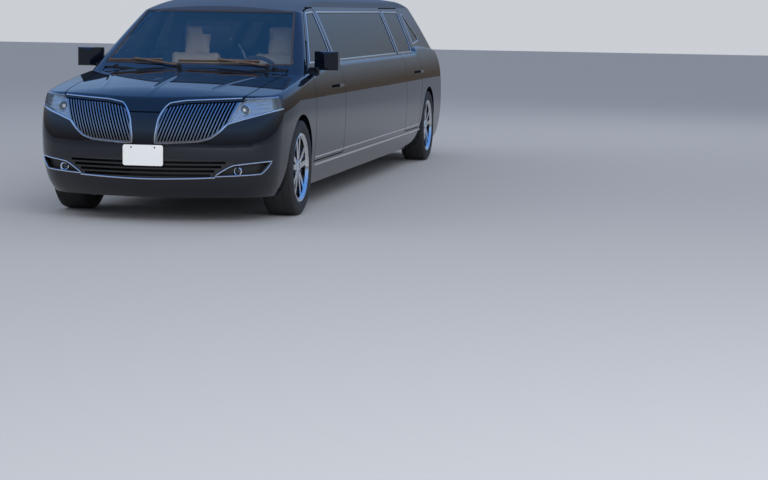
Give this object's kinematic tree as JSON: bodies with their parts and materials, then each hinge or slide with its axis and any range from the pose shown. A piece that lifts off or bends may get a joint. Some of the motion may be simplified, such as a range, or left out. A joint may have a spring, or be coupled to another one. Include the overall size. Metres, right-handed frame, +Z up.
{
  "type": "stretch limousine",
  "caption": "Long black four-door stretch limousine with a split upright grille, wide side windows, rear hatch and bright wheels.",
  "frame": {"origin": "on the ground under the middle of the overall length and width", "axes": "+X forwards along the length, +Y to the car's left, +Z up"},
  "size_m": [8.3225, 2.178, 1.712],
  "materials": {
    "black_paint": "gloss",
    "roof_vinyl": "satin",
    "tinted_glass": "gloss",
    "clear_glass": "gloss",
    "chrome": "polished",
    "lamp_plastic": "gloss",
    "red_plastic": "gloss",
    "black_plastic": "matte",
    "tyre": "matte",
    "bright_alloy": "polished",
    "steel": "matte",
    "carpet": "matte",
    "cream_leather": "satin",
    "dark_trim": "matte"
  },
  "bodies": {
    "body": {"front_bumper": "black_paint", "fenders": "black_paint", "front_frame": "black_paint", "grilles": "chrome", "front_lamps": "lamp_plastic", "fog_lamps": "black_plastic", "lamp_covers": "clear_glass", "radiator": "black_plastic", "intake": "black_plastic", "roof": "roof_vinyl", "rockers": "black_paint", "stretch_sides": "black_paint", "quarters": "black_paint", "tail_lamps": "red_plastic", "rear_bumper": "black_paint", "floor": "carpet", "windshield": "clear_glass", "fixed_side_glass": "tinted_glass", "front_suspension": "steel", "rear_suspension": "steel", "frame_rails": "steel", "wheel_liners": "black_plastic", "engine": "steel", "exhaust": "steel", "driveshaft": "steel", "fuel_tank": "black_plastic", "dashboard": "dark_trim", "steering_wheel": "dark_trim", "front_seats": "cream_leather", "partition": "dark_trim", "lounge_seats": "cream_leather", "bar_cabinet": "dark_trim"},
    "hood": {"hood": "black_paint"},
    "liftgate": {"liftgate": "black_paint", "liftgate_glass": "tinted_glass", "gate_lamp": "red_plastic"},
    "front_door_left": {"door_front_left": "black_paint", "door_glass_front_left": "tinted_glass", "mirror_left": "black_paint"},
    "rear_door_left": {"door_rear_left": "black_paint", "door_glass_rear_left": "tinted_glass"},
    "steering_left": {"knuckle_left": "steel"},
    "wheel_front_left": {"tyre_front_left": "tyre", "rim_front_left": "bright_alloy"},
    "wheel_rear_left": {"tyre_rear_left": "tyre", "rim_rear_left": "bright_alloy"},
    "front_door_right": {"door_front_right": "black_paint", "door_glass_front_right": "tinted_glass", "mirror_right": "black_paint"},
    "rear_door_right": {"door_rear_right": "black_paint", "door_glass_rear_right": "tinted_glass"},
    "steering_right": {"knuckle_right": "steel"},
    "wheel_front_right": {"tyre_front_right": "tyre", "rim_front_right": "bright_alloy"},
    "wheel_rear_right": {"tyre_rear_right": "tyre", "rim_rear_right": "bright_alloy"}
  },
  "joints": [
    {"name": "steer_left", "type": "hinge", "parent": "body", "child": "steering_left", "pos_m": [3.1105, 0.76, 0.369], "axis": [0, 0, 1], "range_deg": [-33, 33]},
    {"name": "steer_right", "type": "hinge", "parent": "body", "child": "steering_right", "pos_m": [3.1105, -0.76, 0.369], "axis": [0, 0, 1], "range_deg": [-33, 33]},
    {"name": "spin_front_left", "type": "hinge", "parent": "steering_left", "child": "wheel_front_left", "pos_m": [3.1105, 0.8305, 0.369], "axis": [0, 1, 0], "continuous": true},
    {"name": "spin_rear_left", "type": "hinge", "parent": "body", "child": "wheel_rear_left", "pos_m": [-2.9325, 0.8305, 0.369], "axis": [0, 1, 0], "continuous": true},
    {"name": "spin_front_right", "type": "hinge", "parent": "steering_right", "child": "wheel_front_right", "pos_m": [3.1105, -0.8305, 0.369], "axis": [0, 1, 0], "continuous": true},
    {"name": "spin_rear_right", "type": "hinge", "parent": "body", "child": "wheel_rear_right", "pos_m": [-2.9325, -0.8305, 0.369], "axis": [0, 1, 0], "continuous": true},
    {"name": "open_front_door_left", "type": "hinge", "parent": "body", "child": "front_door_left", "pos_m": [2.5105, 0.926, 0.711], "axis": [0, 0, -1], "range_deg": [0, 65]},
    {"name": "open_rear_door_left", "type": "hinge", "parent": "body", "child": "rear_door_left", "pos_m": [-1.6815, 0.926, 0.711], "axis": [0, 0, -1], "range_deg": [0, 65]},
    {"name": "open_front_door_right", "type": "hinge", "parent": "body", "child": "front_door_right", "pos_m": [2.5105, -0.926, 0.711], "axis": [0, 0, 1], "range_deg": [0, 65]},
    {"name": "open_rear_door_right", "type": "hinge", "parent": "body", "child": "rear_door_right", "pos_m": [-1.6815, -0.926, 0.711], "axis": [0, 0, 1], "range_deg": [0, 65]},
    {"name": "open_hood", "type": "hinge", "parent": "body", "child": "hood", "pos_m": [2.7805, 0, 1.066], "axis": [0, -1, 0], "range_deg": [0, 50]},
    {"name": "open_liftgate", "type": "hinge", "parent": "body", "child": "liftgate", "pos_m": [-3.4405, 0, 1.616], "axis": [0, 1, 0], "range_deg": [0, 80]}
  ],
  "couplings": [
    {"joint": "steer_right", "follows": "steer_left", "ratio": 1}
  ]
}
